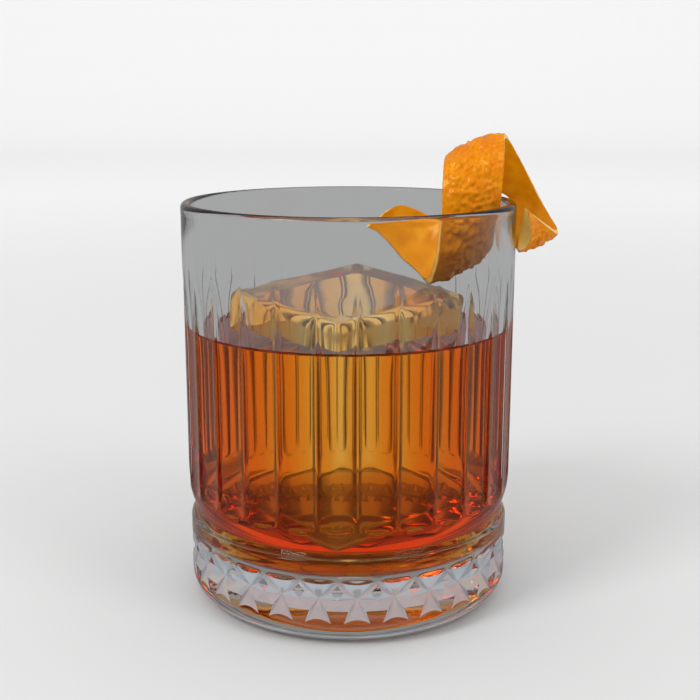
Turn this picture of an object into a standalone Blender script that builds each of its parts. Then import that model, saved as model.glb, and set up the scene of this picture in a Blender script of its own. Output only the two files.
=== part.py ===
"""A short cocktail on the rocks, built with its cut tumbler.

Four solids: the fluted glass with a band of stars, the drink, one large
clear ice cube and a twist of orange peel that hangs over the rim.
All sizes below are millimetres and become metres in the mesh. The origin is
the centre of the foot, +Z is up and -Y is the front.
"""

import math

import bmesh
import bpy
from mathutils import Matrix, Vector

MM = 0.001

# Glass
HEIGHT = 97.0
RIM_R = 40.0
WALL = 2.8
LIP_WALL = 2.4
FLOOR_Z = 14.5
FLOOR_CORNER_R = 6.0
FLUTES = 28
COLUMNS_PER_FLUTE = 4
FIRST_RIDGE_DEG = 2.8
FLUTE_DEPTH = 0.85
FLUTE_STEP = 0.3
FLUTE_TOP = 84.0
FLUTE_RUN_OUT = 20.0
FLUTE_FOOT = 27.4
FLUTE_FOOT_ROUND = 6.0
WAIST_R = 37.8
WAIST_Z = 22.3
BAND_R = 39.5
BAND_TOP = 16.2
BAND_BOTTOM = 6.0
FOOT_ROUND = 6.0

# One star of the band: u runs across it in star widths, z is a height
STAR_Z = 11.6
STAR_DEPTH = 1.1
SCALLOP_DIP = 0.8
GROOVE_Z = 15.7
GROOVE_DEPTH = 0.4
KITE_APEX_Z = 15.2
KITE_BASE_Z = 13.4
KITE_BASE_U = 0.345
ARM_Z = 11.3
ARM_DEPTH = 0.55
SHIELD_TOP_Z = 9.0
SHIELD_TOP_U = 0.22
SHIELD_FOOT_U = 0.34
ARCH_Z = 7.0

# Contents
GAP = 0.3
LEVEL_Z = 66.8
ICE_SIDE = 42.0
ICE_TALL = 52.0
ICE_ROUND = 3.2
ICE_TOP_Z = 75.9
ICE_TURN_DEG = 40.0
ICE_TILT_DEG = 4.6

# Peel: a ribbon between two edge curves, both given at the same stations
# from the free end inside the glass, round the bottom fold, up the front,
# over the top fold, down the back outside the glass and round to the tip
PEEL_THICKNESS = 2.2
PEEL_EDGE = 0.7
PEEL_CAMBER = 0.06  # of the width
PEEL_END_SWELL = 0.45  # the cut end outside is this much thicker
PEEL_STEPS = 5
PEEL_ACROSS = 5
PEEL_LOW_EDGE = (
    (4.6, 10.5, 88.0),
    (8.0, 11.0, 85.5),
    (12.5, 9.5, 82.0),
    (16.3, 6.0, 79.3),
    (19.5, 1.0, 77.2),
    (20.8, -5.5, 83.0),
    (21.6, -8.0, 93.0),
    (21.9, -6.5, 101.5),
    (23.8, 0.0, 107.0),
    (31.2, 9.0, 101.2),
    (39.9, 12.6, 96.7),
    (40.5, 11.4, 90.5),
    (41.6, 8.0, 84.4),
    (41.8, 4.8, 84.2),
    (41.9, 1.2, 84.8),
)
PEEL_HIGH_EDGE = (
    (8.8, 12.2, 92.6),
    (13.4, 13.5, 94.3),
    (21.5, 13.0, 91.2),
    (28.5, 9.5, 88.8),
    (34.6, 2.0, 85.0),
    (35.4, -3.5, 91.0),
    (35.8, -6.0, 99.5),
    (36.5, -5.0, 107.5),
    (37.4, 0.5, 112.0),
    (42.4, 7.5, 105.4),
    (47.6, 11.0, 96.6),
    (51.3, 9.5, 90.1),
    (51.4, 6.0, 88.5),
    (47.0, 1.2, 91.5),
    (42.2, -3.5, 95.2),
)


def clear_scene():
    for old in list(bpy.data.objects):
        bpy.data.objects.remove(old, do_unlink=True)


def make_material(name, colour, roughness, metallic=0.0):
    material = bpy.data.materials.new(name)
    material.use_nodes = True
    shader = material.node_tree.nodes["Principled BSDF"]
    shader.inputs["Base Color"].default_value = (*colour, 1.0)
    shader.inputs["Roughness"].default_value = roughness
    shader.inputs["Metallic"].default_value = metallic
    material.diffuse_color = (*colour, 1.0)
    return material


def make_object(name, bm, material, sharp_deg=35.0):
    bmesh.ops.recalc_face_normals(bm, faces=bm.faces)
    mesh = bpy.data.meshes.new(name)
    bm.to_mesh(mesh)
    bm.free()
    obj = bpy.data.objects.new(name, mesh)
    bpy.context.scene.collection.objects.link(obj)
    mesh.materials.append(material)
    mesh.shade_smooth()
    mesh.set_sharp_from_angle(angle=math.radians(sharp_deg))
    return obj


def point(radius, angle, z):
    """A point at an angle that grows to the right of the front."""
    return Vector((radius * math.sin(angle), -radius * math.cos(angle), z)) * MM


def join_rings(bm, ring_a, ring_b):
    """Faces between two rings; ring_a has as many corners as ring_b, or twice."""
    count_b = len(ring_b)
    ratio = len(ring_a) // count_b
    for i in range(count_b):
        b0 = ring_b[i]
        b1 = ring_b[(i + 1) % count_b]
        a0 = ring_a[i * ratio]
        a1 = ring_a[(i * ratio + ratio) % len(ring_a)]
        if ratio == 1:
            bm.faces.new((a0, a1, b1, b0))
        else:
            middle = ring_a[i * ratio + 1]
            bm.faces.new((a0, middle, b0))
            bm.faces.new((middle, a1, b1))
            bm.faces.new((middle, b1, b0))


def flute_depth(u, z):
    """Depth of the cut at u (0 in the middle of a flute, 0.5 on a ridge)."""
    if z >= FLUTE_TOP or z <= FLUTE_FOOT:
        return 0.0
    top = min(1.0, (FLUTE_TOP - z) / FLUTE_RUN_OUT)
    foot = min(1.0, (z - FLUTE_FOOT) / FLUTE_FOOT_ROUND)
    hollow = FLUTE_DEPTH if abs(u) > 0.47 else (FLUTE_DEPTH - FLUTE_STEP) * (2.0 * u) ** 2
    scoop = max(0.0, FLUTE_DEPTH * math.sqrt(1.0 - (1.0 - foot) ** 2) - hollow)
    return scoop * top**2 * (3.0 - 2.0 * top)


def wall_radius(z):
    """Outer radius of the wall below the flutes, down into the waist."""
    if z >= FLUTE_FOOT + FLUTE_FOOT_ROUND:
        return RIM_R
    fall = (FLUTE_FOOT + FLUTE_FOOT_ROUND - z) / (FLUTE_FOOT + FLUTE_FOOT_ROUND - WAIST_Z)
    return RIM_R - (RIM_R - WAIST_R) * fall**3


def arc_points(centre_r, centre_z, size, start_deg, end_deg, steps):
    """Radius and height along an arc; 0 degrees points outward, 90 up."""
    for k in range(steps + 1):
        angle = math.radians(start_deg + (end_deg - start_deg) * k / steps)
        yield centre_r + size * math.cos(angle), centre_z + size * math.sin(angle)


def build_glass():
    bm = bmesh.new()
    columns = FLUTES * COLUMNS_PER_FLUTE
    pitch = math.tau / FLUTES
    first = math.radians(FIRST_RIDGE_DEG)

    def ring(radius, z, count=columns):
        step = math.tau / count
        return [bm.verts.new(point(radius, first + k * step, z)) for k in range(count)]

    def fluted_ring(z):
        corners = []
        for k in range(columns):
            across = (k % COLUMNS_PER_FLUTE) / COLUMNS_PER_FLUTE
            depth = flute_depth(abs(across - 0.5), z)
            angle = first + k * pitch / COLUMNS_PER_FLUTE
            corners.append(bm.verts.new(point(wall_radius(z) - depth, angle, z)))
        return corners

    # The lip, from the inner side over the top to the outer side
    lip_r = LIP_WALL / 2.0
    rings = []
    for radius, z in arc_points(RIM_R - lip_r, HEIGHT - lip_r, lip_r, 180.0, 0.0, 4):
        rings.append(ring(radius, z))
    inner_start = rings[0]

    # The fluted wall, closer rings where the flutes begin and end
    top_rows = [FLUTE_TOP - FLUTE_RUN_OUT * f for f in (0.0, 0.3, 0.65, 1.0)]
    foot_rows = [FLUTE_FOOT + FLUTE_FOOT_ROUND * f for f in (1.0, 0.4, 0.12, 0.0)]
    for z in top_rows + foot_rows:
        rings.append(fluted_ring(z))

    # The waist and the shoulder of the foot
    for z in (25.2, 23.6, WAIST_Z):
        rings.append(ring(wall_radius(z), z))
    for radius, z in arc_points(BAND_R - 2.2, 19.2, 2.2, 62.0, 0.0, 3):
        rings.append(ring(radius, z))

    # The band of stars between a scalloped upper edge and an arched lower one
    upper = []
    lower = []
    for k in range(columns):
        across = (k % COLUMNS_PER_FLUTE) / COLUMNS_PER_FLUTE
        u = across if across <= 0.5 else across - 1.0
        centre = first + (k - u * COLUMNS_PER_FLUTE) * pitch / COLUMNS_PER_FLUTE
        z = BAND_TOP - SCALLOP_DIP * (1.0 - (2.0 * u) ** 2)
        upper.append(bm.verts.new(point(BAND_R, centre + u * pitch, z)))
        foot_u = u if abs(u) != 0.25 else math.copysign(SHIELD_FOOT_U, u)
        foot_z = ARCH_Z if u == 0.0 else BAND_BOTTOM
        lower.append(bm.verts.new(point(BAND_R, centre + foot_u * pitch, foot_z)))
    rings.append(upper)
    for a, b in zip(rings, rings[1:]):
        join_rings(bm, a, b)

    cells = []
    for i in range(FLUTES):
        centre = first + i * pitch

        def corner(u, z, depth=0.0):
            return bm.verts.new(point(BAND_R - depth, centre + u * pitch, z))

        cells.append({
            "centre": corner(0.0, STAR_Z, STAR_DEPTH),
            "kite": {s: corner(s * KITE_BASE_U, KITE_BASE_Z) for s in (-1, 1)},
            "shield": {s: corner(s * SHIELD_TOP_U, SHIELD_TOP_Z) for s in (-1, 1)},
            "apex": corner(0.5, KITE_APEX_Z),
            "groove": corner(0.5, GROOVE_Z, GROOVE_DEPTH),
            "arm": corner(0.5, ARM_Z, ARM_DEPTH),
        })
    for i, cell in enumerate(cells):
        for side in (-1, 1):
            shared = cell if side == 1 else cells[i - 1]
            k = i * COLUMNS_PER_FLUTE
            middle = cell["centre"]
            top = [upper[(k + side * j) % columns] for j in range(3)]
            foot = [lower[(k + side * j) % columns] for j in range(2)]
            kite = cell["kite"][side]
            shield = cell["shield"][side]
            for corners in (
                (middle, top[0], top[1]),
                (middle, top[1], shared["groove"]),
                (top[1], top[2], shared["groove"]),
                (middle, shared["groove"], kite),
                (shared["groove"], shared["apex"], kite),
                (middle, kite, shared["arm"]),
                (middle, shared["arm"], shield),
                (middle, shield, foot[1]),
                (middle, foot[1], foot[0]),
            ):
                bm.faces.new(corners)
        other = cells[(i + 1) % FLUTES]
        k = i * COLUMNS_PER_FLUTE
        low = [lower[(k + j) % columns] for j in (1, 2, 3)]
        bm.faces.new((cell["apex"], other["kite"][-1], cell["kite"][1]))
        bm.faces.new((cell["kite"][1], other["kite"][-1], cell["arm"]))
        bm.faces.new((cell["shield"][1], cell["arm"], other["shield"][-1]))
        bm.faces.new((cell["shield"][1], other["shield"][-1], low[1]))
        bm.faces.new((cell["shield"][1], low[1], low[0]))
        bm.faces.new((other["shield"][-1], low[2], low[1]))

    # The rounded foot and the flat underside
    before = lower
    half = columns // 2
    for radius, z in arc_points(BAND_R - FOOT_ROUND, FOOT_ROUND, FOOT_ROUND, -12.0, -90.0, 4):
        after = ring(radius, max(z, 0.0), columns if before is lower else half)
        join_rings(bm, before, after)
        before = after
    bm.faces.new(before)

    # The inside: straight wall, rounded corner, flat floor
    inner_r = RIM_R - WALL
    before = inner_start
    inside = [(inner_r, HEIGHT - 6.0)]
    inside += arc_points(
        inner_r - FLOOR_CORNER_R, FLOOR_Z + FLOOR_CORNER_R, FLOOR_CORNER_R, 0.0, -90.0, 4
    )
    for radius, z in inside:
        after = ring(radius, z, half)
        join_rings(bm, before, after)
        before = after
    bm.faces.new(before)
    return make_object("glass", bm, make_material("glass", (0.80, 0.83, 0.84), 0.05))


def ice_block(name, grow, material, steps):
    """The block with rounded edges, turned corner to the front and tilted."""
    bm = bmesh.new()
    bmesh.ops.create_cube(bm, size=MM)
    side = ICE_SIDE + 2.0 * grow
    bmesh.ops.scale(bm, vec=(side, side, ICE_TALL + 2.0 * grow), verts=bm.verts)
    bmesh.ops.bevel(
        bm,
        geom=bm.edges[:] + bm.verts[:],
        offset=(ICE_ROUND + grow) * MM,
        offset_type="OFFSET",
        segments=steps,
        profile=0.5,
        affect="EDGES",
    )
    tilt = Matrix.Rotation(math.radians(ICE_TILT_DEG), 4, "X")
    turn = Matrix.Rotation(math.radians(ICE_TURN_DEG), 4, "Z")
    lift = Matrix.Translation((0.0, 0.0, (ICE_TOP_Z - ICE_TALL / 2.0) * MM))
    bmesh.ops.transform(bm, matrix=lift @ tilt @ turn, verts=bm.verts)
    return make_object(name, bm, material, 60.0)


def build_drink(ice_material):
    """Fills the glass to the level, with a pocket cut round the ice."""
    bm = bmesh.new()
    columns = FLUTES * COLUMNS_PER_FLUTE // 2
    radius = RIM_R - WALL - GAP
    corner = FLOOR_CORNER_R - GAP
    rows = [(radius, LEVEL_Z)]
    rows += arc_points(radius - corner, FLOOR_Z + GAP + corner, corner, 0.0, -90.0, 4)
    first = math.radians(FIRST_RIDGE_DEG)
    rings = []
    for r, z in rows:
        angles = [first + k * math.tau / columns for k in range(columns)]
        rings.append([bm.verts.new(point(r, angle, z)) for angle in angles])
    for a, b in zip(rings, rings[1:]):
        join_rings(bm, a, b)
    bm.faces.new(rings[0])
    bm.faces.new(rings[-1])
    drink = make_object("drink", bm, make_material("drink", (0.62, 0.22, 0.02), 0.08))

    cutter = ice_block("ice_cutter", GAP, ice_material, 3)
    cutter.hide_render = True
    cutter.display_type = "WIRE"
    cut = drink.modifiers.new("ice pocket", "BOOLEAN")
    cut.operation = "DIFFERENCE"
    cut.solver = "EXACT"
    cut.object = cutter
    return drink


def smooth_point(stations, t):
    """A smooth curve through the stations; t counts stations from 0."""
    last = len(stations) - 1
    i = min(int(t), last - 1)
    f = t - i
    p0 = Vector(stations[max(i - 1, 0)])
    p1 = Vector(stations[i])
    p2 = Vector(stations[i + 1])
    p3 = Vector(stations[min(i + 2, last)])
    bend = 2.0 * p0 - 5.0 * p1 + 4.0 * p2 - p3
    swing = 3.0 * p1 - p0 - 3.0 * p2 + p3
    return (2.0 * p1 + (p2 - p0) * f + bend * f**2 + swing * f**3) / 2.0


def build_peel():
    """The peel: a strip with a thick, slightly domed middle and thinner edges."""
    bm = bmesh.new()
    last = len(PEEL_LOW_EDGE) - 1
    count = last * PEEL_STEPS
    loops = []
    for k in range(count + 1):
        t = k / PEEL_STEPS
        low = smooth_point(PEEL_LOW_EDGE, t)
        high = smooth_point(PEEL_HIGH_EDGE, t)
        t0 = max(t - 0.05, 0.0)
        t1 = min(t + 0.05, last)
        ahead_low = smooth_point(PEEL_LOW_EDGE, t1) - smooth_point(PEEL_LOW_EDGE, t0)
        ahead_high = smooth_point(PEEL_HIGH_EDGE, t1) - smooth_point(PEEL_HIGH_EDGE, t0)
        front = []
        back = []
        for j in range(PEEL_ACROSS + 1):
            f = j / PEEL_ACROSS
            side = abs(2.0 * f - 1.0)
            half = PEEL_THICKNESS / 2.0 * (1.0 - (1.0 - PEEL_EDGE) * side**3)
            half *= 1.0 + PEEL_END_SWELL * max(t - last + 1.0, 0.0) * (1.0 - side**2)
            normal = ahead_low.lerp(ahead_high, f).cross(high - low).normalized()
            camber = PEEL_CAMBER * (high - low).length * (1.0 - side**2)
            middle = low.lerp(high, f) - normal * camber
            front.append(bm.verts.new((middle + normal * half) * MM))
            back.append(bm.verts.new((middle - normal * half) * MM))
        loops.append(front + back[::-1])
    for a, b in zip(loops, loops[1:]):
        join_rings(bm, a, b)
    size = 2 * (PEEL_ACROSS + 1)
    for end in (loops[0], loops[-1]):
        for j in range(PEEL_ACROSS):
            bm.faces.new((end[j], end[j + 1], end[size - 2 - j], end[size - 1 - j]))
    return make_object("orange_peel", bm, make_material("peel", (0.85, 0.33, 0.02), 0.4), 50.0)


def main():
    clear_scene()
    build_glass()
    ice_material = make_material("ice", (0.86, 0.90, 0.92), 0.05)
    build_drink(ice_material)
    ice_block("ice_cube", 0.0, ice_material, 3)
    build_peel()


main()
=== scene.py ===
# %% [markdown]
# # An old fashioned in a cut tumbler
#
# This lesson dresses four plain solids: a fluted tumbler, the drink in it, one
# large ice cube and a twist of orange peel. Clear things are the hard part.
# What the eye sees in them is the bent light behind, so their surfaces have to
# be fine, closed and in the right order before any colour is chosen.

# %% Load the solids
import math

import bmesh
import bpy
import numpy as np
from mathutils import Matrix, Vector, kdtree, noise


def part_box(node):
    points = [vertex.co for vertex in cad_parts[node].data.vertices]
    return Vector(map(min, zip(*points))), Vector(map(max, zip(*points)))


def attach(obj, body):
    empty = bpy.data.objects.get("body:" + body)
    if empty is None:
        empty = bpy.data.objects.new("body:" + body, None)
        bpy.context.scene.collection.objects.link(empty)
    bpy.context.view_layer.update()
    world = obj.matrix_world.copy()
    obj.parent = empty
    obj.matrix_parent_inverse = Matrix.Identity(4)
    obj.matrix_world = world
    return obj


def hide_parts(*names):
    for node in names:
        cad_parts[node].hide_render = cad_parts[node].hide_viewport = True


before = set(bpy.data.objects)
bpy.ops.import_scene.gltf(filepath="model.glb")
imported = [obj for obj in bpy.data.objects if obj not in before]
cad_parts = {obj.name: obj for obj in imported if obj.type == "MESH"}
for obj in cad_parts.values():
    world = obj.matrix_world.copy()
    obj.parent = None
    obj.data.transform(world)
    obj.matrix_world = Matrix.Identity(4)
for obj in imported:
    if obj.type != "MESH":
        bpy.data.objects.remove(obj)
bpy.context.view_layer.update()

MM = 0.001
for name in sorted(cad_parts):
    low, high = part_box(name)
    print(name, [round((b - a) / MM, 1) for a, b in zip(low, high)], "mm")

# %% [markdown]
# ## Small helpers
#
# Operators act on whatever is selected, so every step starts by selecting
# nothing. A finished piece also has its place in its mesh and its object at
# the origin, which `settle` sees to.


# %% Selection helpers
def select_only(piece=None):
    if bpy.context.mode != "OBJECT":
        bpy.ops.object.mode_set(mode="OBJECT")
    bpy.ops.object.select_all(action="DESELECT")
    if piece is not None:
        piece.select_set(True)
        bpy.context.view_layer.objects.active = piece
    return piece


def settle(piece):
    select_only(piece)
    bpy.ops.object.transform_apply(location=True, rotation=True, scale=True)
    return piece


def named(name):
    piece = bpy.context.object
    piece.name = name
    piece.data.name = name
    return piece


def report(piece):
    mesh = piece.data
    mesh.calc_loop_triangles()
    open_edges = sum(1 for e in edge_uses(mesh) if e != 2)
    print(piece.name, len(mesh.loop_triangles), "triangles,", open_edges, "open edges")


def edge_uses(mesh):
    uses = np.zeros(len(mesh.edges), int)
    keys = np.zeros(len(mesh.loops), int)
    mesh.loops.foreach_get("edge_index", keys)
    np.add.at(uses, keys, 1)
    return uses


# %% [markdown]
# ## The camera
#
# The glass is seen from close by and a little above, which makes its rim a
# flat ellipse and the band at its foot a much rounder one. A distance of 277 mm
# and a tilt of 12.8 degrees give both. The small sideways shift puts the
# glass's axis a little left of the middle of the frame.

# %% Camera
bpy.ops.object.camera_add(
    location=(0.0, -277.35 * MM, 123.09 * MM),
    rotation=(math.radians(90.0 - 12.81), 0.0, 0.0),
)
camera = bpy.context.object
camera.name = "camera"
camera.data.lens = 59.24
camera.data.sensor_width = 36.0
camera.data.shift_x = 1.5 / 700.0
camera.data.clip_start = 0.01
bpy.context.scene.camera = camera

# %% [markdown]
# ## The tumbler, part one: turning the wall
#
# Pressed glass is round inside and cut outside. The round part is drawn the
# way a potter pulls a pot: a ring of corners at the middle of the floor is
# extruded and scaled through a list of radii and heights, up the inside, over
# the lip and down the outside. There are sixteen corners to each flute, so
# that the hollows bend light smoothly. Rows lie close together just past the
# lip and the floor's corner. Without them the rounding would shade the whole
# wall next to it and draw a dark wedge at the rim.

# %% Measures of the tumbler
RIM_R = 40.0
INNER_R = 37.2
LIP_R = 1.2
HEIGHT = 97.0
FLOOR_Z = 14.5
FLOOR_CORNER_R = 6.0
FLUTES = 28
PER_FLUTE = 16
COLUMNS = FLUTES * PER_FLUTE
FIRST_RIDGE = math.radians(2.8)
PITCH = math.tau / FLUTES
BAND_R = 39.5
BAND_TOP = 16.2
BAND_BOTTOM = 6.0
FOOT_ROUND = 6.0
WAIST_R = 37.8
WAIST_Z = 22.3
FLUTE_TOP = 84.0
FLUTE_RUN_OUT = 20.0
FLUTE_FOOT = 27.4
FLUTE_FOOT_ROUND = 6.0
FLUTE_DEPTH = 0.85
FLUTE_STEP = 0.3
FLUTE_CREST = (0.85, 0.94)


def arc(centre_r, centre_z, size, start, end, steps):
    for k in range(steps + 1):
        turn = math.radians(start + (end - start) * k / steps)
        yield centre_r + size * math.cos(turn), centre_z + size * math.sin(turn)


def wall_radius(z):
    if z >= FLUTE_FOOT + FLUTE_FOOT_ROUND:
        return RIM_R
    fall = (FLUTE_FOOT + FLUTE_FOOT_ROUND - z) / (FLUTE_FOOT + FLUTE_FOOT_ROUND - WAIST_Z)
    return RIM_R - (RIM_R - WAIST_R) * fall**3


def start_disc(name, radius, z, corners=COLUMNS):
    """A flat disc whose outer edge is left selected in edit mode."""
    select_only()
    bpy.ops.mesh.primitive_circle_add(
        vertices=corners,
        radius=radius * MM,
        fill_type="TRIFAN",
        location=(0.0, 0.0, z * MM),
        rotation=(0.0, 0.0, FIRST_RIDGE),
    )
    disc = settle(named(name))
    bpy.ops.object.mode_set(mode="EDIT")
    bpy.ops.mesh.select_mode(type="EDGE")
    bpy.ops.mesh.select_all(action="SELECT")
    bpy.ops.mesh.region_to_loop()
    return disc


def draw_ring(radius, z, rows):
    """Extrude the selected ring through rows of (radius, height)."""
    for next_radius, next_z in rows:
        lift = (0.0, 0.0, (next_z - z) * MM)
        bpy.ops.mesh.extrude_region_move(TRANSFORM_OT_translate={"value": lift})
        grow = next_radius / radius
        bpy.ops.transform.resize(
            value=(grow, grow, 1.0), center_override=(0.0, 0.0, next_z * MM)
        )
        radius, z = next_radius, next_z


# %% Pull up the wall
inside = list(
    arc(INNER_R - FLOOR_CORNER_R, FLOOR_Z + FLOOR_CORNER_R, FLOOR_CORNER_R, -90.0, 0.0, 14)
)
inside += [(INNER_R, z) for z in (21.0, 22.5, 30.0, 45.0, 60.0, 75.0, 88.0)]
inside += [(INNER_R + 0.4 * t * t * (3.0 - 2.0 * t), 90.0 + 5.8 * t) for t in (0.35, 0.7, 0.95)]
lip = list(arc(RIM_R - LIP_R, HEIGHT - LIP_R, LIP_R, 180.0, 0.0, 14))
top_rows = [(RIM_R, z) for z in (95.6, 95.0, 93.5, 90.0)]
top_rows += [
    (RIM_R, FLUTE_TOP - FLUTE_RUN_OUT * f)
    for f in (0.0, 0.02, 0.05, 0.1, 0.17, 0.26, 0.37, 0.5, 0.65, 0.82, 1.0)
]
middle_rows = [(RIM_R, z) for z in range(60, 36, -4)]
foot_rows = [
    (wall_radius(FLUTE_FOOT + FLUTE_FOOT_ROUND * f), FLUTE_FOOT + FLUTE_FOOT_ROUND * f)
    for f in (1.0, 0.82, 0.65, 0.5, 0.37, 0.26, 0.17, 0.1, 0.05, 0.02, 0.0)
]
waist = [(wall_radius(z), z) for z in (26.4, 25.4, 24.6, 23.9, 23.3, 22.8)]
waist += list(arc(WAIST_R + 0.55, WAIST_Z, 0.55, 180.0, 235.0, 4))
shoulder = list(arc(BAND_R - 2.2, 19.2, 2.2, 62.0, 0.0, 8))
shoulder += [(BAND_R, 17.4), (BAND_R, BAND_TOP)]

tumbler = start_disc("tumbler", inside[0][0], FLOOR_Z)
draw_ring(
    *inside[0],
    inside[1:] + lip + top_rows + middle_rows + foot_rows + waist + shoulder,
)
bpy.ops.object.mode_set(mode="OBJECT")
print("wall", len(tumbler.data.vertices), "corners")

# %% [markdown]
# ## The tumbler, part two: the flutes
#
# Each flute is a shallow trough with a round end below that runs out softly
# towards the rim. Moving corners inwards by a depth that depends on the height
# and on the place across the flute gives exactly that. Between two flutes
# stands a narrow crest. It draws the thin pale line of each ridge, while the
# nearly flat panel beside it shows what is behind almost undistorted. The
# columns of corners are gathered at the ridges, where the shape is finest.


# %% Press the flutes
def flute_depth(across, z):
    """across is 0 in the middle of a flute and 1 on a ridge."""
    top = np.clip((FLUTE_TOP - z) / FLUTE_RUN_OUT, 0.0, 1.0)
    foot = np.clip((z - FLUTE_FOOT) / FLUTE_FOOT_ROUND, 0.0, 1.0)
    low, high = FLUTE_CREST
    climb = np.clip((across - low) / (high - low), 0.0, 1.0)
    climb = climb**2 * (3.0 - 2.0 * climb)
    hollow = (FLUTE_DEPTH - FLUTE_STEP) * np.minimum(across, high) ** 2 / high**2
    hollow = np.minimum(hollow + FLUTE_STEP * climb, FLUTE_DEPTH)
    scoop = np.maximum(FLUTE_DEPTH * np.sqrt(1.0 - (1.0 - foot) ** 2) - hollow, 0.0)
    return scoop * top**2 * (3.0 - 2.0 * top)


def get_corners(mesh):
    flat = np.zeros(len(mesh.vertices) * 3)
    mesh.vertices.foreach_get("co", flat)
    return flat.reshape(-1, 3) / MM


def set_corners(mesh, corners):
    mesh.vertices.foreach_set("co", (corners * MM).ravel())
    mesh.update()


corners = get_corners(tumbler.data)
radius = np.hypot(corners[:, 0], corners[:, 1])
turn = np.arctan2(corners[:, 0], -corners[:, 1])
cell = (turn - FIRST_RIDGE) / PITCH
u = cell - np.round(cell)
outer = (radius > 38.9) & (corners[:, 2] < FLUTE_TOP) & (corners[:, 2] > FLUTE_FOOT)
gather = np.where(outer, 0.7 * np.sin(math.tau * u) / math.tau, 0.0)
across = 1.0 - 2.0 * np.abs(u - gather)
depth = np.where(outer, flute_depth(across, corners[:, 2]), 0.0)
corners[:, :2] *= (1.0 - depth / np.maximum(radius, 1.0))[:, None]
swing = -gather * PITCH
x, y = corners[:, 0].copy(), corners[:, 1].copy()
corners[:, 0] = x * np.cos(swing) - y * np.sin(swing)
corners[:, 1] = x * np.sin(swing) + y * np.cos(swing)
edge = (np.abs(corners[:, 2] - BAND_TOP) < 1e-3) & (radius > 39.0)
corners[edge, 2] -= 0.8 * (1.0 - (2.0 * u[edge]) ** 2)
set_corners(tumbler.data, corners)
print("flutes", FLUTES, "deepest", round(float(depth.max()), 2), "mm")

# %% [markdown]
# ## The tumbler, part three: the stars
#
# The foot carries a band of cut stars. Each is a fan of flat facets that meet
# at one deep point, with small plain lands left between the neighbours. Facets
# have to stay flat and crisp, so they are drawn corner by corner and shaded
# flat, and one cell is written once and turned round the foot. A mark on each
# face tells cut from plain, because the cuts later get a slightly satin finish
# and a painted blue-grey reflection.

# %% One star and its neighbour's land
STAR_Z = 11.6
STAR_DEPTH = 1.1
HALF = PER_FLUTE // 2


def rim_point(u, z, depth=0.0):
    turn = FIRST_RIDGE + u * PITCH
    r = BAND_R - depth
    return Vector((r * math.sin(turn), -r * math.cos(turn), z)) * MM


def foot_edge(j):
    """Place on the band's lower edge for column j, counted from the star."""
    u = j / PER_FLUTE
    if j <= 5:
        u = 0.34 * j / 5
        return u, BAND_BOTTOM + 1.0 * (1.0 - (u / 0.34) ** 2)
    return 0.34 + 0.16 * (j - 5) / 3, BAND_BOTTOM


def star_cell(bm):
    def corner(u, z, depth=0.0):
        return bm.verts.new(rim_point(u, z, depth))

    heart = corner(0.0, STAR_Z, STAR_DEPTH)
    lands = []
    cut_layer = bm.faces.layers.float.new("cut")
    for side in (-1, 1):
        top = []
        low = []
        for j in range(HALF + 1):
            u = j / PER_FLUTE
            top.append(corner(side * u, BAND_TOP - 0.8 * (1.0 - (2.0 * u) ** 2)))
            foot_u, foot_z = foot_edge(j)
            low.append(corner(side * foot_u, foot_z))
        groove = corner(side * 0.5, 15.7, 0.4)
        apex = corner(side * 0.5, 15.2)
        base = corner(side * 0.345, 13.4)
        base_mid = corner(side * 0.5, 13.4)
        arm = corner(side * 0.5, 11.3, 0.55)
        shield = corner(side * 0.22, 9.0)
        shield_mid = corner(side * 0.5, 9.0)
        for j in range(6):
            bm.faces.new((heart, top[j], top[j + 1]))
        for j in range(6, HALF):
            bm.faces.new((groove, top[j], top[j + 1]))
        bm.faces.new((heart, top[6], groove))
        bm.faces.new((heart, groove, base))
        bm.faces.new((groove, apex, base))
        lands.append(bm.faces.new((apex, base_mid, base)))
        bm.faces.new((heart, base, arm))
        bm.faces.new((base, base_mid, arm))
        bm.faces.new((heart, arm, shield))
        bm.faces.new((shield, arm, shield_mid))
        bm.faces.new((heart, shield, low[5]))
        for j in range(5):
            bm.faces.new((heart, low[j + 1], low[j]))
        lands.append(bm.faces.new((shield, shield_mid, low[8], low[7], low[6], low[5])))
    for face in bm.faces:
        face[cut_layer] = 0.0 if face in lands else 1.0


band_bm = bmesh.new()
star_cell(band_bm)
bmesh.ops.remove_doubles(band_bm, verts=band_bm.verts, dist=1e-6)
bmesh.ops.spin(
    band_bm,
    geom=band_bm.verts[:] + band_bm.edges[:] + band_bm.faces[:],
    axis=(0.0, 0.0, 1.0),
    cent=(0.0, 0.0, 0.0),
    angle=math.tau * (FLUTES - 1) / FLUTES,
    steps=FLUTES - 1,
    use_duplicate=True,
)
bmesh.ops.remove_doubles(band_bm, verts=band_bm.verts, dist=1e-5)
for face in band_bm.faces:
    face.smooth = False
band_mesh = bpy.data.meshes.new("band")
band_bm.to_mesh(band_mesh)
band_bm.free()
band = bpy.data.objects.new("band", band_mesh)
bpy.context.scene.collection.objects.link(band)
print("band", len(band_mesh.polygons), "facets")

# %% [markdown]
# ## The tumbler, part four: the foot, and joining up
#
# The foot is drawn like the wall, from the middle of the underside outwards
# and up to the band. The underside is a shallow hollow, as pressed glasses
# have, and it spreads the drink's amber over the foot. The last ring takes
# the arched lower edge of the stars.
# The three pieces then share their seams exactly, and merging the doubled
# corners closes the skin.

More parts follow.
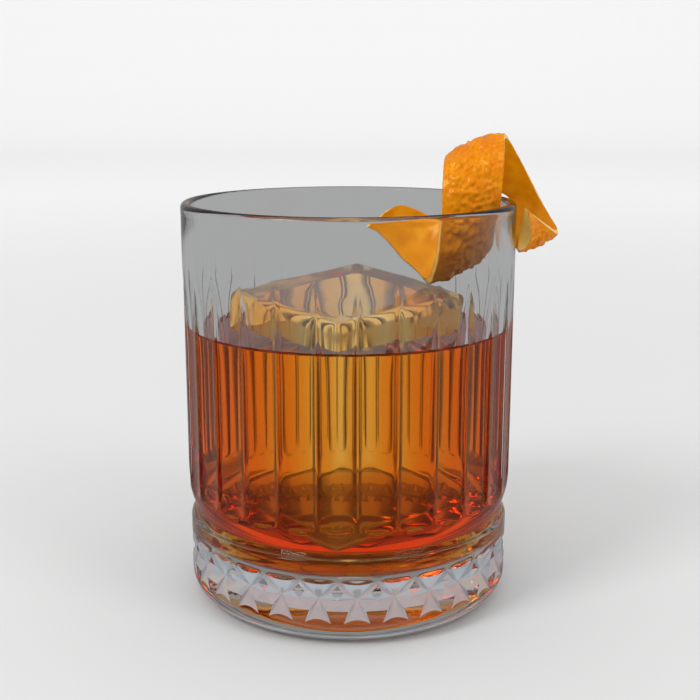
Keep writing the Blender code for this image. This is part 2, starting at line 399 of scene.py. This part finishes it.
# %% Draw the foot and close the skin
PUNT_R = 31.0
PUNT_RISE = 3.0
steps = [0.02] + [k / 10 for k in range(1, 10)]
foot = [(PUNT_R * t, PUNT_RISE * (1.0 - t * t)) for t in steps]
foot += [(PUNT_R, 0.0)]
foot += list(arc(BAND_R - FOOT_ROUND, FOOT_ROUND, FOOT_ROUND, -90.0, 0.0, 14))
base = start_disc("tumbler_foot", foot[0][0], foot[0][1])
draw_ring(*foot[0], foot[1:])
bpy.ops.object.mode_set(mode="OBJECT")
corners = get_corners(base.data)
edge = np.abs(corners[:, 2] - BAND_BOTTOM) < 1e-3
turn = np.arctan2(corners[edge, 0], -corners[edge, 1])
cell = (turn - FIRST_RIDGE) / PITCH
star = np.round(cell)
column = np.round((cell - star) * PER_FLUTE).astype(int)
placed = []
for s, j in zip(star, column):
    foot_u, foot_z = foot_edge(abs(int(j)))
    placed.append(rim_point(s + math.copysign(foot_u, j), foot_z) / MM)
corners[edge] = np.array(placed)
set_corners(base.data, corners)

for piece in (tumbler, base):
    select_only(piece)
    bpy.ops.object.shade_smooth()
select_only(tumbler)
base.select_set(True)
band.select_set(True)
bpy.ops.object.join()
bpy.ops.object.mode_set(mode="EDIT")
bpy.ops.mesh.select_all(action="SELECT")
bpy.ops.mesh.remove_doubles(threshold=0.00001)
bpy.ops.mesh.normals_make_consistent(inside=False)
bpy.ops.object.mode_set(mode="OBJECT")
report(tumbler)

# %% [markdown]
# ## The ice cube
#
# A large bar cube starts with flat sides, and the drink soon rounds its edges
# and corners and leaves the faces gently dished. A divided cube has its
# corners pulled onto rounded edges, then two sizes of noise push the skin in
# and out: a slow one for the melt and a fine one for the ripples.

# %% Melt the cube
ICE_SIDE = 42.0
ICE_TALL = 52.0
ICE_ROUND = 2.2
select_only()
bpy.ops.mesh.primitive_cube_add(size=MM, scale=(ICE_SIDE, ICE_SIDE, ICE_TALL))
ice = named("ice")
bpy.ops.object.mode_set(mode="EDIT")
bpy.ops.mesh.select_all(action="SELECT")
bpy.ops.mesh.subdivide(number_cuts=47)
bpy.ops.object.mode_set(mode="OBJECT")
bpy.ops.object.transform_apply(location=False, rotation=False, scale=True)

corners = get_corners(ice.data)
reach = np.array((ICE_SIDE, ICE_SIDE, ICE_TALL)) / 2 - ICE_ROUND
core = np.clip(corners, -reach, reach)
away = corners - core
away /= np.maximum(np.linalg.norm(away, axis=1), 1e-9)[:, None]
melted = []
for point, out in zip(core + away * ICE_ROUND, away):
    p = Vector(point)
    melt = 0.45 * noise.noise(p / 19.0) + 0.1 * noise.noise(p / 8.0 + Vector((7, 3, 1)))
    ripple = 0.02 * noise.noise(p / 3.0 + Vector((2, 9, 4)))
    melted.append(np.array(point) + out * (melt + ripple - 0.3))
set_corners(ice.data, np.array(melted))
tilt = Matrix.Rotation(math.radians(4.6), 4, "X") @ Matrix.Rotation(math.radians(40.0), 4, "Z")
ice.matrix_world = Matrix.Translation((0.0, 0.0, (75.9 - ICE_TALL / 2) * MM)) @ tilt
settle(ice)
bpy.ops.object.shade_smooth()
report(ice)

# %% [markdown]
# ## The drink
#
# The drink fills the glass to its level. Where liquid wets glass there must be
# no film of air, so its skin is drawn a hair inside the wall of the tumbler
# and a hair inside the ice. The surface also climbs a little where it meets
# the wall, which is what draws the dark line at the level.

# %% Fill the glass
WET = 0.06
LEVEL_Z = 66.8
corner_r = FLOOR_CORNER_R
drink_r = INNER_R + WET
sides = list(arc(INNER_R - corner_r, FLOOR_Z + corner_r, corner_r + WET, -90.0, 0.0, 14))
sides += [(drink_r, z) for z in (21.0, 22.5, 30.0, 45.0, 60.0, LEVEL_Z + 0.9)]
meniscus = [(drink_r - 2.6 * t, LEVEL_Z + 0.9 * (1.0 - t) ** 3) for t in
            (0.04, 0.1, 0.18, 0.28, 0.4, 0.55, 0.75, 1.0)]
drink = start_disc("cocktail", sides[0][0], sides[0][1], COLUMNS // 2)
draw_ring(*sides[0], sides[1:] + meniscus)
bpy.ops.mesh.edge_face_add()
bpy.ops.mesh.select_all(action="SELECT")
bpy.ops.mesh.normals_make_consistent(inside=False)
bpy.ops.object.mode_set(mode="OBJECT")

select_only(ice)
bpy.ops.object.duplicate()
pocket = named("pocket")
normals = np.zeros(len(pocket.data.vertices) * 3)
pocket.data.vertices.foreach_get("normal", normals)
set_corners(pocket.data, get_corners(pocket.data) - WET * normals.reshape(-1, 3))

select_only(drink)
cut = drink.modifiers.new("ice pocket", "BOOLEAN")
cut.operation = "DIFFERENCE"
cut.solver = "EXACT"
cut.object = pocket
bpy.ops.object.modifier_apply(modifier=cut.name)
bpy.data.objects.remove(pocket)
bpy.ops.object.shade_smooth_by_angle(angle=math.radians(35.0))
report(drink)

# %% [markdown]
# ## The orange peel
#
# A twist of peel is a strip cut from the rind and wrung, so that it keeps a
# corkscrew shape. It is built between two edge curves: along it the strip
# turns from the free end in the glass, round a fold at the ice, up, over and
# down outside the rim. Across it the strip is slightly domed, and its outer
# end is cut thick.

# %% Lay out the strip
PEEL_LOW_EDGE = (
    (4.6, 10.5, 88.0),
    (8.0, 11.0, 85.5),
    (12.5, 9.5, 82.0),
    (16.3, 6.0, 79.3),
    (19.5, 1.0, 77.2),
    (20.8, -5.5, 83.0),
    (21.6, -8.0, 93.0),
    (21.9, -6.5, 101.5),
    (23.8, 0.0, 107.0),
    (31.2, 9.0, 101.2),
    (39.9, 12.6, 96.7),
    (40.5, 11.4, 90.5),
    (41.6, 8.0, 84.4),
    (41.8, 4.8, 84.2),
    (41.9, 1.2, 84.8),
)
PEEL_HIGH_EDGE = (
    (8.8, 12.2, 92.6),
    (13.4, 13.5, 94.3),
    (21.5, 13.0, 91.2),
    (28.5, 9.5, 88.8),
    (34.6, 2.0, 85.0),
    (35.4, -3.5, 91.0),
    (35.8, -6.0, 99.5),
    (36.5, -5.0, 107.5),
    (37.4, 0.5, 112.0),
    (42.4, 7.5, 105.4),
    (47.6, 11.0, 96.6),
    (51.3, 9.5, 90.1),
    (51.4, 6.0, 88.5),
    (47.0, 1.2, 91.5),
    (42.2, -3.5, 95.2),
)
PEEL_THICKNESS = 2.2
END_SWELL = 0.45
ALONG = 24
ACROSS = 44
EDGE_STEPS = 5


def through(stations, t):
    last = len(stations) - 1
    i = min(int(t), last - 1)
    f = t - i
    p0, p1, p2, p3 = (
        Vector(stations[min(max(k, 0), last)]) for k in (i - 1, i, i + 1, i + 2)
    )
    bend = 2.0 * p0 - 5.0 * p1 + 4.0 * p2 - p3
    swing = 3.0 * p1 - p0 - 3.0 * p2 + p3
    return (2.0 * p1 + (p2 - p0) * f + bend * f**2 + swing * f**3) / 2.0


def strip_point(t, f, side):
    """A point of the strip; side is 1 on the zest, -1 on the pith side."""
    low = through(PEEL_LOW_EDGE, t)
    high = through(PEEL_HIGH_EDGE, t)
    t0 = max(t - 0.05, 0.0)
    t1 = min(t + 0.05, len(PEEL_LOW_EDGE) - 1)
    ahead_low = through(PEEL_LOW_EDGE, t1) - through(PEEL_LOW_EDGE, t0)
    ahead_high = through(PEEL_HIGH_EDGE, t1) - through(PEEL_HIGH_EDGE, t0)
    normal = ahead_low.lerp(ahead_high, f).cross(high - low).normalized()
    edge = abs(2.0 * f - 1.0)
    half = PEEL_THICKNESS / 2.0 * (1.0 - 0.3 * edge**3)
    half *= 1.0 + END_SWELL * max(t - len(PEEL_LOW_EDGE) + 2.0, 0.0) * (1.0 - edge**2)
    dome = 0.06 * (high - low).length * (1.0 - edge**2)
    return low.lerp(high, f) - normal * (dome + side * half), -normal


# %% [markdown]
# ### The body of the peel
#
# A peeler leaves a strip with two faces and a cut all round. So one closed
# loop of corners goes round the section at every place along the strip, and
# neighbouring loops are joined. Both ends are closed with a few shrinking
# rings, so that the cut shows as a flat pale face. Each corner remembers its
# side and how far it is from the edge.

# %% Build the strip
rows = (len(PEEL_LOW_EDGE) - 1) * ALONG
peel_bm = bmesh.new()
zest = peel_bm.verts.layers.float.new("zest")
inset = peel_bm.verts.layers.float.new("inset")
loops = []
for k in range(rows + 1):
    t = k / ALONG
    loop = []
    for j in range(ACROSS + 1):
        loop.append((j / ACROSS, 1.0))
    for j in range(1, EDGE_STEPS):
        loop.append((1.0, 1.0 - 2.0 * j / EDGE_STEPS))
    for j in range(ACROSS + 1):
        loop.append((1.0 - j / ACROSS, -1.0))
    for j in range(1, EDGE_STEPS):
        loop.append((0.0, -1.0 + 2.0 * j / EDGE_STEPS))
    made = []
    for f, side in loop:
        place, out = strip_point(t, f, side)
        vert = peel_bm.verts.new(place * MM)
        vert[zest] = side
        vert[inset] = min(1.0, 5.0 * min(f, 1.0 - f))
        made.append(vert)
    loops.append(made)
size = len(loops[0])
for a, b in zip(loops, loops[1:]):
    for i in range(size):
        j = (i + 1) % size
        peel_bm.faces.new((a[i], a[j], b[j], b[i]))
for end, beyond in ((loops[0], loops[1]), (loops[-1], loops[-2])):
    outward = (end[0].co - beyond[0].co + end[ACROSS].co - beyond[ACROSS].co).normalized()
    middle = sum((v.co for v in end), Vector()) / size
    ring = end
    for grow, reach in ((0.97, 0.05), (0.9, 0.1), (0.6, 0.12)):
        inner = []
        for k, v in enumerate(end):
            across, there = end[k].co, end[(2 * (ACROSS + EDGE_STEPS) - EDGE_STEPS - k) % size].co
            spine = (across + there) / 2.0
            place = spine.lerp(across, grow).lerp(middle, 0.04 * (1.0 - grow))
            made = peel_bm.verts.new(place + outward * reach * MM)
            made[zest] = 0.4 * v[zest] * grow
            inner.append(made)
        for i in range(size):
            j = (i + 1) % size
            peel_bm.faces.new((ring[i], ring[j], inner[j], inner[i]))
        ring = inner
    for i in range(ACROSS):
        j = size - EDGE_STEPS - i
        peel_bm.faces.new((ring[i], ring[i + 1], ring[j - 1], ring[j]))
    peel_bm.faces.new([ring[i] for i in range(ACROSS, ACROSS + EDGE_STEPS + 1)])
    peel_bm.faces.new([ring[i % size] for i in range(size - EDGE_STEPS, size + 1)])
bmesh.ops.recalc_face_normals(peel_bm, faces=peel_bm.faces)
peel_mesh = bpy.data.meshes.new("peel")
peel_bm.to_mesh(peel_mesh)
peel_bm.free()
peel = bpy.data.objects.new("peel", peel_mesh)
bpy.context.scene.collection.objects.link(peel)
report(peel)

# %% [markdown]
# ### Lumps and pores
#
# Zest is lumpy where it bends, and full of oil pores. A bump map would fail at
# the outline, so the skin itself moves: noise for the lumps, fading out at the
# cut edges, and one real dimple at each point of a scattered net.

# %% Dimple the zest
PORE_GAP = 1.05
PORE_R = 0.34
PORE_DEPTH = 0.12
dice = np.random.default_rng(4)
corners = get_corners(peel.data)
normals = np.zeros(len(peel.data.vertices) * 3)
peel.data.vertices.foreach_get("normal", normals)
normals = normals.reshape(-1, 3)
side = np.zeros(len(peel.data.vertices))
peel.data.attributes["zest"].data.foreach_get("value", side)
from_edge = np.zeros(len(peel.data.vertices))
peel.data.attributes["inset"].data.foreach_get("value", from_edge)
skin = dice.permutation(np.flatnonzero(side > 0.9))
pores = np.zeros((0, 3))
for place in corners[skin]:
    if len(pores) == 0 or np.linalg.norm(pores - place, axis=1).min() > PORE_GAP:
        pores = np.vstack([pores, place])
net = kdtree.KDTree(len(pores))
for i, place in enumerate(pores):
    net.insert(Vector(place), i)
net.balance()
lift = np.zeros(len(corners))
pit = np.zeros(len(corners))
for i, place in enumerate(corners):
    p = Vector(place)
    if side[i] > 0.9:
        gap = net.find(p)[2]
        pit[i] = math.exp(-((gap / PORE_R) ** 2))
        swell = 0.5 * noise.noise(p / 2.4) + 0.6 * noise.noise(p / 1.1)
        lift[i] = from_edge[i] * (swell - PORE_DEPTH * pit[i]) - 0.12
    else:
        lift[i] = 0.14 * noise.noise(p / 2.2 + Vector((5, 1, 2))) - 0.1
set_corners(peel.data, corners + normals * lift[:, None])
pores_attr = peel.data.attributes.new("pore", "FLOAT", "POINT")
pores_attr.data.foreach_set("value", pit.astype(np.float32))
select_only(peel)
bpy.ops.object.shade_smooth()
print("pores", len(pores))

# %% [markdown]
# ## Clear materials
#
# Glass, ice and drink are all the same shader with another index of
# refraction: 1.5, 1.31 and 1.36. Their own colour is almost white. The amber
# comes from the depth of liquid the light crosses, so it belongs in the
# volume, which swallows nearly all blue, some green and hardly any red.
# Mirror images of the studio would lie over it all like a veil, so the
# specular tint is low. The cut facets are a little rough; their blue-grey tint
# and lower transmission are a painted reflection of the grey surroundings.


# %% Clear shader
def new_material(name):
    material = bpy.data.materials.new(name)
    material.use_nodes = True
    return material, material.node_tree.nodes, material.node_tree.links


def clear(name, tint, ior, rough_low, rough_high, grain, gloss):
    material, nodes, links = new_material(name)
    shader = nodes["Principled BSDF"]
    shader.inputs["Base Color"].default_value = (*tint, 1.0)
    shader.inputs["IOR"].default_value = ior
    shader.inputs["Transmission Weight"].default_value = 1.0
    shader.inputs["Specular Tint"].default_value = (gloss, gloss, gloss, 1.0)
    place = nodes.new("ShaderNodeTexCoord")
    cloud = nodes.new("ShaderNodeTexNoise")
    cloud.inputs["Scale"].default_value = grain
    cloud.inputs["Detail"].default_value = 3.0
    spread = nodes.new("ShaderNodeMapRange")
    spread.inputs["From Min"].default_value = 0.35
    spread.inputs["From Max"].default_value = 0.75
    spread.inputs["To Min"].default_value = rough_low
    spread.inputs["To Max"].default_value = rough_high
    links.new(place.outputs["Object"], cloud.inputs["Vector"])
    links.new(cloud.outputs["Fac"], spread.inputs["Value"])
    links.new(spread.outputs["Result"], shader.inputs["Roughness"])
    return material, nodes, links


# %% [markdown]
# ### One recipe, four looks
#
# The ice is slightly milky and lets a little less through. The drink gets its
# amber from absorption. The tumbler carries two materials, and the mark that
# was left on each face of the stars now picks the cut look for it, with its
# painted blue-grey reflection.

# %% Glass, ice and drink
glass_look, nodes, links = clear("clear glass", (0.985, 0.99, 0.992), 1.5, 0.0, 0.0, 60.0, 0.2)
ice_look, nodes, links = clear("wet ice", (0.97, 0.94, 0.92), 1.31, 0.02, 0.06, 140.0, 0.3)
nodes["Principled BSDF"].inputs["Transmission Weight"].default_value = 0.88
drink_look, nodes, links = clear("amber drink", (1.0, 1.0, 1.0), 1.36, 0.0, 0.0, 40.0, 0.0)
soak = nodes.new("ShaderNodeVolumeAbsorption")
soak.inputs["Color"].default_value = (0.972, 0.722, 0.02, 1.0)
soak.inputs["Density"].default_value = 160.0
links.new(soak.outputs["Volume"], nodes["Material Output"].inputs["Volume"])
# Cut facets: the noise roughness is a real satin finish. The blue-grey base colour and lower
# transmission are a painted reflection of the grey surroundings.
cut_look_painted_grey, nodes, links = clear("cut facets", (0.65, 0.72, 0.79), 1.5, 0.04, 0.12, 90.0, 0.7)
nodes["Principled BSDF"].inputs["Transmission Weight"].default_value = 0.6
for piece, looks in (
    (tumbler, (glass_look, cut_look_painted_grey)), (ice, (ice_look,)), (drink, (drink_look,)),
):
    piece.data.materials.clear()
    for look in looks:
        piece.data.materials.append(look)
kinds = np.zeros(len(tumbler.data.polygons))
tumbler.data.attributes["cut"].data.foreach_get("value", kinds)
tumbler.data.polygons.foreach_set("material_index", (kinds > 0.5).astype(int))
print("cut facets", int(kinds.sum()))

# %% [markdown]
# ## Peel
#
# Two attributes made with the mesh colour the peel: which side a corner is on,
# and how deep in a pore it sits. The zest is a saturated, slightly oily
# orange, darker in the pores. The other side is a moist yellow-orange that
# pales to cream at the cut edges.

# %% Zest and pith
peel_look, nodes, links = new_material("orange peel")
shader = nodes["Principled BSDF"]
place = nodes.new("ShaderNodeTexCoord")
which = nodes.new("ShaderNodeAttribute")
which.attribute_name = "zest"
pore = nodes.new("ShaderNodeAttribute")
pore.attribute_name = "pore"
mottle = nodes.new("ShaderNodeTexNoise")
mottle.inputs["Scale"].default_value = 260.0
mottle.inputs["Detail"].default_value = 4.0
links.new(place.outputs["Object"], mottle.inputs["Vector"])


def ramp(stops):
    node = nodes.new("ShaderNodeValToRGB")
    bar = node.color_ramp
    while len(bar.elements) < len(stops):
        bar.elements.new(0.5)
    for element, (spot, colour) in zip(bar.elements, stops):
        element.position = spot
        element.color = (*colour, 1.0)
    return node


def blend_colour(factor, a, b):
    node = nodes.new("ShaderNodeMix")
    node.data_type = "RGBA"
    links.new(factor, node.inputs["Factor"])
    links.new(a, node.inputs["A"])
    links.new(b, node.inputs["B"])
    return node.outputs["Result"]


zest_ramp = ramp([
    (0.3, (0.70, 0.19, 0.001)), (0.55, (0.76, 0.25, 0.001)), (0.75, (0.84, 0.32, 0.002)),
])
pith_ramp = ramp([
    (0.3, (0.70, 0.22, 0.001)), (0.6, (0.80, 0.31, 0.002)), (0.8, (0.86, 0.42, 0.008)),
])
deep = nodes.new("ShaderNodeRGB")
deep.outputs[0].default_value = (0.66, 0.16, 0.001, 1.0)
cream = nodes.new("ShaderNodeRGB")
cream.outputs[0].default_value = (0.92, 0.55, 0.12, 1.0)
links.new(mottle.outputs["Fac"], zest_ramp.inputs["Fac"])
links.new(mottle.outputs["Fac"], pith_ramp.inputs["Fac"])
pitted = blend_colour(pore.outputs["Fac"], zest_ramp.outputs["Color"], deep.outputs[0])
to_zest = nodes.new("ShaderNodeMapRange")
to_zest.inputs["From Min"].default_value = 0.5
to_zest.inputs["From Max"].default_value = 0.9
to_pith = nodes.new("ShaderNodeMapRange")
to_pith.inputs["From Min"].default_value = -0.9
to_pith.inputs["From Max"].default_value = -0.5
links.new(which.outputs["Fac"], to_zest.inputs["Value"])
links.new(which.outputs["Fac"], to_pith.inputs["Value"])
inner = blend_colour(to_pith.outputs["Result"], pith_ramp.outputs["Color"], cream.outputs[0])
colour = blend_colour(to_zest.outputs["Result"], inner, pitted)
links.new(colour, shader.inputs["Base Color"])
shader.inputs["Roughness"].default_value = 0.24
shader.inputs["Specular IOR Level"].default_value = 0.55
shader.inputs["Specular Tint"].default_value = (1.0, 0.66, 0.24, 1.0)
peel.data.materials.clear()
peel.data.materials.append(peel_look)

# %% [markdown]
# ## Pieces take the place of the solids
#
# Every piece rides on the part's one body and stands in for its solid, which
# stays behind as the shape that things bump into.

# %% Stand in for the solids
for piece, node, slot in (
    (tumbler, "glass", "glass"),
    (drink, "drink", "drink"),
    (ice, "ice_cube", "ice"),
    (peel, "orange_peel", "peel"),
):
    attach(piece, "root")
    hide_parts(node)

# %% [markdown]
# ## Floor, world and light
#
# The picture has a pale, nearly even ground on a rounded sweep of paper. The
# sheet is one plane whose far edge is extruded up a quarter circle.

# %% Sweep
select_only()
bpy.ops.mesh.primitive_plane_add(size=1.0, location=(0.0, 0.0, -0.15 * MM))
sweep = named("sweep")
bpy.ops.object.mode_set(mode="EDIT")
bpy.ops.mesh.select_all(action="SELECT")
bpy.ops.transform.resize(value=(8.0, 4.0, 1.0))
bpy.ops.object.mode_set(mode="OBJECT")
for edge in sweep.data.edges:
    ys = [sweep.data.vertices[i].co.y for i in edge.vertices]
    edge.select = min(ys) > 1.9
for vert in sweep.data.vertices:
    vert.select = vert.co.y > 1.9
for face in sweep.data.polygons:
    face.select = False
bpy.ops.object.mode_set(mode="EDIT")
for step in range(1, 9):
    before, after = (math.radians(90.0 * k / 8) for k in (step - 1, step))
    rise = 0.6 * (1.0 - math.cos(after))
    rise -= 0.6 * (1.0 - math.cos(before))
    run = 0.6 * (math.sin(after) - math.sin(before))
    bpy.ops.mesh.extrude_region_move(TRANSFORM_OT_translate={"value": (0.0, run, rise)})
bpy.ops.mesh.extrude_region_move(TRANSFORM_OT_translate={"value": (0.0, 0.0, 3.0)})
bpy.ops.object.mode_set(mode="OBJECT")
settle(sweep)
bpy.ops.object.shade_smooth()

# %% [markdown]
# ## What light finds behind the glass
#
# The glass was lit in a dimmer room than its ground suggests: empty glass
# looks mid grey in the picture. So the paper is pale to the camera, and to
# light that has gone through the glass it is painted light: it glows an even
# grey. Light that has also crossed the drink has passed more skins than a
# Light Path of 5.5 transmissions. It finds painted glow instead: bright and
# dark bands on the paper round the glass, four of each, which stand in for lit
# and dark reflector boards and draw the stripes in the drink. Close round the
# foot the glow is painted darker, a painted shadow of the glass.

# %% Paper
look, nodes, links = new_material("sweep paper")
paper = nodes["Principled BSDF"]
paper.inputs["Roughness"].default_value = 0.9
place = nodes.new("ShaderNodeTexCoord")
reach = nodes.new("ShaderNodeVectorMath")
reach.operation = "LENGTH"
ground = nodes.new("ShaderNodeMapRange")
ground.inputs["From Min"].default_value = 0.33
ground.inputs["From Max"].default_value = 0.4
ground.inputs["To Max"].default_value = 0.38
# Painted light: the paper glows here, though it is no lamp, for every ray that is neither a
# camera nor a diffuse ray.
glow = nodes.new("ShaderNodeEmission")
# Painted shadow: the paper's glow is darker close round the foot, where the glass and drink would
# shade it.
painted_foot_shadow = nodes.new("ShaderNodeValToRGB")
painted_foot_shadow.color_ramp.elements[0].position = 0.05
painted_foot_shadow.color_ramp.elements[0].color = (0.6, 0.6, 0.6, 1.0)
painted_foot_shadow.color_ramp.elements[1].position = 0.1
painted_foot_shadow.color_ramp.elements[1].color = (1.0, 1.0, 1.0, 1.0)
eye = nodes.new("ShaderNodeLightPath")
sight = nodes.new("ShaderNodeMath")
sight.operation = "MAXIMUM"
wet_path = nodes.new("ShaderNodeMath")
wet_path.operation = "GREATER_THAN"
wet_path.inputs[1].default_value = 5.5
pick = nodes.new("ShaderNodeMix")
pick.inputs["A"].default_value = 0.38
either = nodes.new("ShaderNodeMixShader")
# Painted light: four bright and four dark bands of glow on the paper close round the glass,
# standing in for lit and dark reflector boards, seen only by light that has crossed the drink.
axes = nodes.new("ShaderNodeSeparateXYZ")
bearing = nodes.new("ShaderNodeMath")
bearing.operation = "ARCTAN2"
fold = nodes.new("ShaderNodeMath")
fold.operation = "PINGPONG"
fold.inputs[1].default_value = math.pi / 4.0
painted_glow_cards = nodes.new("ShaderNodeValToRGB")
for _ in range(4):
    painted_glow_cards.color_ramp.elements.new(0.5)
for element, (spot, shade) in zip(painted_glow_cards.color_ramp.elements, (
    (0.0, 1.0), (0.13, 1.0), (0.2, 0.4), (0.32, 0.1), (0.6, 0.08), (0.785, 0.6),
)):
    element.position = spot
    element.color = (shade, shade, shade, 1.0)
near = nodes.new("ShaderNodeMath")
near.operation = "MULTIPLY"
near.inputs[1].default_value = 0.88
links.new(place.outputs["Object"], axes.inputs["Vector"])
links.new(axes.outputs["X"], bearing.inputs[0])
links.new(axes.outputs["Y"], bearing.inputs[1])
links.new(bearing.outputs["Value"], fold.inputs[0])
links.new(fold.outputs["Value"], painted_glow_cards.inputs["Fac"])
links.new(painted_glow_cards.outputs["Color"], near.inputs[0])
links.new(near.outputs["Value"], ground.inputs["To Min"])
links.new(place.outputs["Object"], reach.inputs[0])
links.new(reach.outputs["Value"], ground.inputs["Value"])
links.new(ground.outputs["Result"], pick.inputs["B"])
links.new(eye.outputs["Transmission Depth"], wet_path.inputs[0])
links.new(wet_path.outputs["Value"], pick.inputs["Factor"])
links.new(pick.outputs["Result"], glow.inputs["Strength"])
links.new(reach.outputs["Value"], painted_foot_shadow.inputs["Fac"])
# Painted shade: the paper's own colour is darker close round the glass and pales farther out, a
# soft shadow halo round the object.
painted_halo_shade = nodes.new("ShaderNodeMapRange")
painted_halo_shade.interpolation_type = "SMOOTHSTEP"
painted_halo_shade.inputs["From Min"].default_value = 0.05
painted_halo_shade.inputs["From Max"].default_value = 1.3
painted_halo_shade.inputs["To Min"].default_value = 0.69
painted_halo_shade.inputs["To Max"].default_value = 0.95
links.new(reach.outputs["Value"], painted_halo_shade.inputs["Value"])
links.new(painted_halo_shade.outputs["Result"], paper.inputs["Base Color"])
links.new(painted_foot_shadow.outputs["Color"], glow.inputs["Color"])
links.new(eye.outputs["Is Camera Ray"], sight.inputs[0])
links.new(eye.outputs["Is Diffuse Ray"], sight.inputs[1])
links.new(sight.outputs["Value"], either.inputs["Fac"])
links.new(glow.outputs["Emission"], either.inputs[1])
links.new(paper.outputs["BSDF"], either.inputs[2])
links.new(either.outputs["Shader"], nodes["Material Output"].inputs["Surface"])
sweep.data.materials.append(look)

# %% [markdown]
# ## World and lamps
#
# The world follows the same rule as the paper: pale to the camera, grey through
# the glass, and darker overhead to light that has crossed the drink.

# %% World
world = bpy.data.worlds.new("studio")
bpy.context.scene.world = world
world.use_nodes = True
nodes, links = world.node_tree.nodes, world.node_tree.links
back = nodes["Background"]
back.inputs["Color"].default_value = (1.0, 1.0, 1.0, 1.0)
eye = nodes.new("ShaderNodeLightPath")
way = nodes.new("ShaderNodeTexCoord")
axes = nodes.new("ShaderNodeSeparateXYZ")
dim = nodes.new("ShaderNodeMapRange")
dim.inputs["From Min"].default_value = 0.3
dim.inputs["From Max"].default_value = 0.7
dim.inputs["To Min"].default_value = 0.38
dim.inputs["To Max"].default_value = 0.1
level = nodes.new("ShaderNodeMix")
level.inputs["B"].default_value = 0.9
links.new(way.outputs["Generated"], axes.inputs["Vector"])
links.new(axes.outputs["Z"], dim.inputs["Value"])
wet_path = nodes.new("ShaderNodeMath")
wet_path.operation = "GREATER_THAN"
wet_path.inputs[1].default_value = 5.5
pick = nodes.new("ShaderNodeMix")
pick.inputs["A"].default_value = 0.38
links.new(eye.outputs["Transmission Depth"], wet_path.inputs[0])
links.new(wet_path.outputs["Value"], pick.inputs["Factor"])
links.new(dim.outputs["Result"], pick.inputs["B"])
links.new(pick.outputs["Result"], level.inputs["A"])
sight = nodes.new("ShaderNodeMath")
sight.operation = "MAXIMUM"
links.new(eye.outputs["Is Camera Ray"], sight.inputs[0])
links.new(eye.outputs["Is Diffuse Ray"], sight.inputs[1])
links.new(sight.outputs["Value"], level.inputs["Factor"])
links.new(level.outputs["Result"], back.inputs["Strength"])


# %% [markdown]
# ### Two soft lamps
#
# Area lamps stand in for a window and a wall that sends light back. The larger
# they are, the softer the shadow, and the window is what glints on the zest.

# %% Lamps
def softbox(name, place, aim, width, height, power):
    bpy.ops.object.light_add(type="AREA", location=place)
    lamp = bpy.context.object
    lamp.name = name
    lamp.data.shape = "RECTANGLE"
    lamp.data.size = width
    lamp.data.size_y = height
    lamp.data.energy = power
    towards = Vector(aim) - Vector(place)
    lamp.rotation_euler = towards.to_track_quat("-Z", "Y").to_euler()


softbox("window", (-0.8, -0.7, 1.0), (0.0, 0.0, 0.05), 0.4, 0.6, 7.0)
softbox("fill", (0.9, -0.7, 0.9), (0.0, 0.0, 0.05), 0.5, 0.8, 3.5)

# %% [markdown]
# ## Render settings that clear things need
#
# A ray that crosses glass, drink, ice and back again passes a dozen skins.
# Too few bounces would turn those places black.

# %% Bounces and colour
scene = bpy.context.scene
scene.cycles.max_bounces = 32
scene.cycles.transmission_bounces = 32
scene.cycles.glossy_bounces = 8
scene.cycles.transparent_max_bounces = 16
scene.cycles.caustics_refractive = True
scene.cycles.caustics_reflective = False
scene.view_settings.view_transform = "Standard"
scene.view_settings.look = "None"
